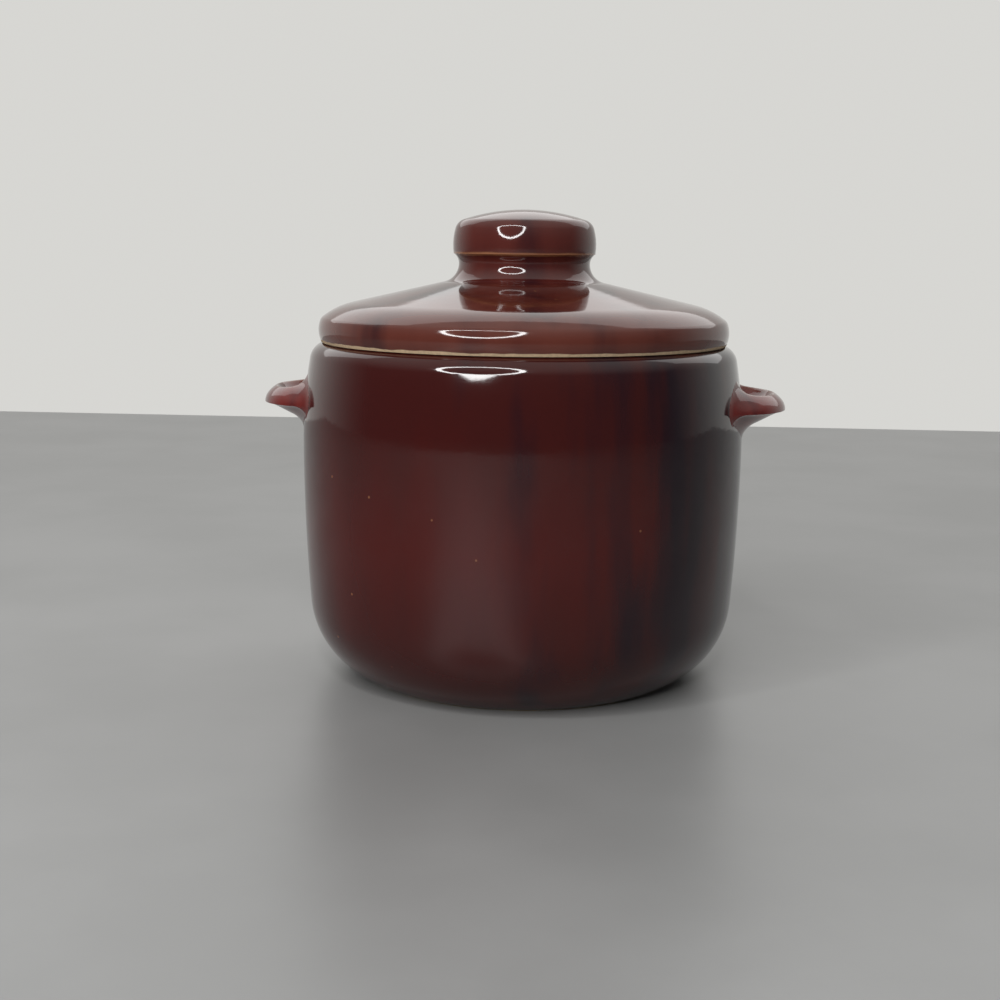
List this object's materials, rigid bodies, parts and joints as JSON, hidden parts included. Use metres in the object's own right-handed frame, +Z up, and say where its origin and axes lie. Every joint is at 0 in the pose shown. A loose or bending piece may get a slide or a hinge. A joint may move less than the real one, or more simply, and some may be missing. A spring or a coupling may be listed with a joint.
{
  "type": "bean pot",
  "caption": "Barrel-shaped glazed stoneware bean pot with two dished lug handles and a loose domed lid that lifts off by a mushroom knob.",
  "frame": {"origin": "centre of the foot, on the surface the pot stands on", "axes": "+Z up along the pot's axis, +X towards the right-hand lug handle"},
  "size_m": [0.1976, 0.166, 0.1752],
  "materials": {
    "pot_glaze": "gloss",
    "handle_glaze": "gloss",
    "lid_glaze": "gloss",
    "knob_glaze": "gloss"
  },
  "bodies": {
    "pot": {"pot_body": "pot_glaze", "handle_left": "handle_glaze", "handle_right": "handle_glaze"},
    "lid": {"lid_shell": "lid_glaze", "lid_knob": "knob_glaze"}
  },
  "joints": [
    {"name": "lid_lift", "type": "slide", "parent": "pot", "child": "lid", "axis": [0, 0, 1], "range_m": [0, 0.08]}
  ]
}
